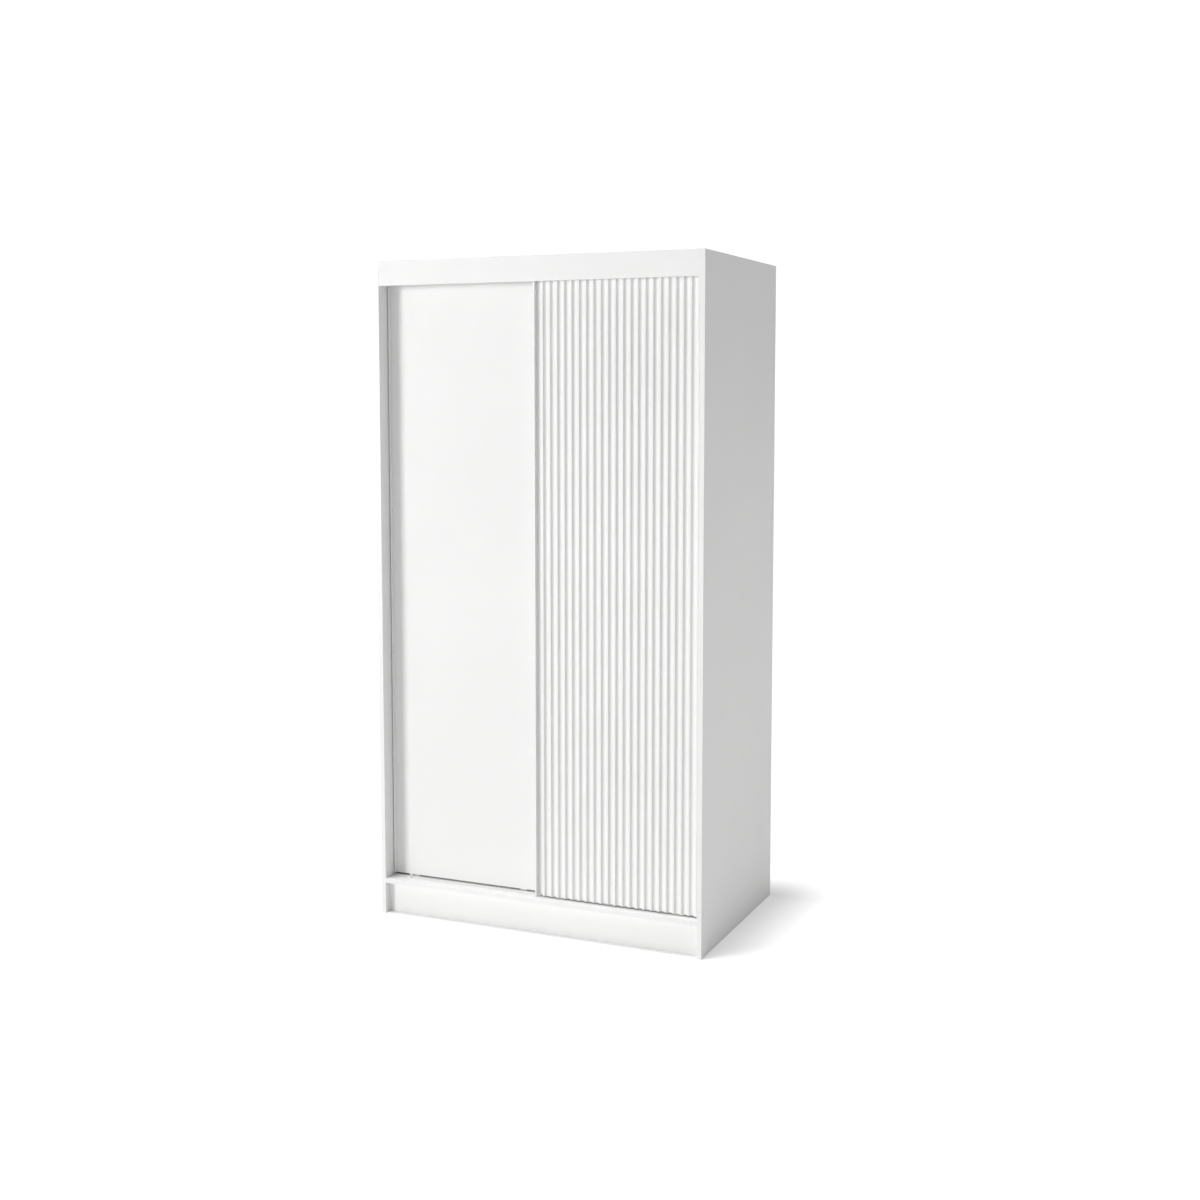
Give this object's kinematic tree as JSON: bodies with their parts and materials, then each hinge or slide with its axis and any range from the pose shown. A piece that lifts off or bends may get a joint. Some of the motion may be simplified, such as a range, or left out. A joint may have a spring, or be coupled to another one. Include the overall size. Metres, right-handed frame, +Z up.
{
  "type": "sliding door wardrobe",
  "caption": "White wardrobe with a plain rear sliding door, a fluted front sliding door, shelves in one bay and a hanging rail in the other.",
  "frame": {"origin": "on the floor, at the middle of the width and the depth", "axes": "+X to the right as seen from the front, +Y towards the back, +Z up"},
  "size_m": [1, 0.62, 1.9],
  "materials": {
    "white_board": "white melamine-faced chipboard, fine matt texture",
    "fluted_mdf": "white foil-wrapped fluted MDF, satin",
    "back_sheet": "white lacquered hardboard",
    "grip_profile": "white powder-coated extrusion",
    "track": "white lacquered extrusion",
    "white_plastic": "moulded white plastic",
    "wheel_nylon": "natural nylon",
    "chrome": "bright chrome plate",
    "zinc_steel": "zinc plated",
    "beech": "fluted beech"
  },
  "bodies": {
    "carcass": {"side_panel_left": "white_board", "side_panel_right": "white_board", "top_panel": "white_board", "bottom_panel": "white_board", "centre_divider": "white_board", "fascia": "white_board", "plinth_front": "white_board", "plinth_rear": "white_board", "plinth_brace": "white_board", "back_sheet_left": "back_sheet", "back_sheet_right": "back_sheet", "back_joint_strip": "white_plastic", "back_nails": "zinc_steel", "shelf_1": "white_board", "shelf_2": "white_board", "shelf_3": "white_board", "shelf_4": "white_board", "shelf_5": "white_board", "shelf_pins": "zinc_steel", "hat_shelf": "white_board", "hanging_rail": "chrome", "rail_bracket_left": "chrome", "rail_bracket_right": "chrome", "rail_bracket_screws": "zinc_steel", "top_track": "track", "bottom_track": "track", "track_screws": "zinc_steel", "track_stops": "white_plastic", "cam_locks": "zinc_steel", "cam_bolts": "zinc_steel", "dowels": "beech", "confirmat_screws": "zinc_steel", "corner_blocks": "white_plastic", "corner_block_screws": "zinc_steel", "wall_brackets": "zinc_steel", "wall_bracket_screws": "zinc_steel"},
    "left_door": {"left_door_board": "white_board", "left_door_grip": "grip_profile", "left_door_roller_housings": "white_plastic", "left_door_roller_axles": "zinc_steel", "left_door_roller_screws": "zinc_steel", "left_door_top_guides": "white_plastic"},
    "right_door": {"right_door_board": "white_board", "right_door_fluted_panel": "fluted_mdf", "right_door_grip": "grip_profile", "right_door_roller_housings": "white_plastic", "right_door_roller_axles": "zinc_steel", "right_door_roller_screws": "zinc_steel", "right_door_top_guides": "white_plastic"},
    "left_wheel_a": {"left_door_wheel_1": "wheel_nylon"},
    "left_wheel_b": {"left_door_wheel_2": "wheel_nylon"},
    "right_wheel_a": {"right_door_wheel_1": "wheel_nylon"},
    "right_wheel_b": {"right_door_wheel_2": "wheel_nylon"}
  },
  "joints": [
    {"name": "left_door_slide", "type": "slide", "parent": "carcass", "child": "left_door", "axis": [1, 0, 0], "range_m": [0, 0.47]},
    {"name": "right_door_slide", "type": "slide", "parent": "carcass", "child": "right_door", "axis": [1, 0, 0], "range_m": [-0.47, 0]},
    {"name": "left_wheel_a_spin", "type": "hinge", "parent": "left_door", "child": "left_wheel_a", "pos_m": [-0.414, -0.249, 0.1134], "axis": [0, 1, 0], "range_deg": [0, 2264]},
    {"name": "left_wheel_b_spin", "type": "hinge", "parent": "left_door", "child": "left_wheel_b", "pos_m": [-0.064, -0.249, 0.1134], "axis": [0, 1, 0], "range_deg": [0, 2264]},
    {"name": "right_wheel_a_spin", "type": "hinge", "parent": "right_door", "child": "right_wheel_a", "pos_m": [0.064, -0.275, 0.1134], "axis": [0, 1, 0], "range_deg": [-2264, 0]},
    {"name": "right_wheel_b_spin", "type": "hinge", "parent": "right_door", "child": "right_wheel_b", "pos_m": [0.414, -0.275, 0.1134], "axis": [0, 1, 0], "range_deg": [-2264, 0]}
  ],
  "couplings": [
    {"joint": "left_wheel_a_spin", "follows": "left_door_slide", "rad_per_m": 83.333},
    {"joint": "left_wheel_b_spin", "follows": "left_door_slide", "rad_per_m": 83.333},
    {"joint": "right_wheel_a_spin", "follows": "right_door_slide", "rad_per_m": 83.333},
    {"joint": "right_wheel_b_spin", "follows": "right_door_slide", "rad_per_m": 83.333}
  ]
}
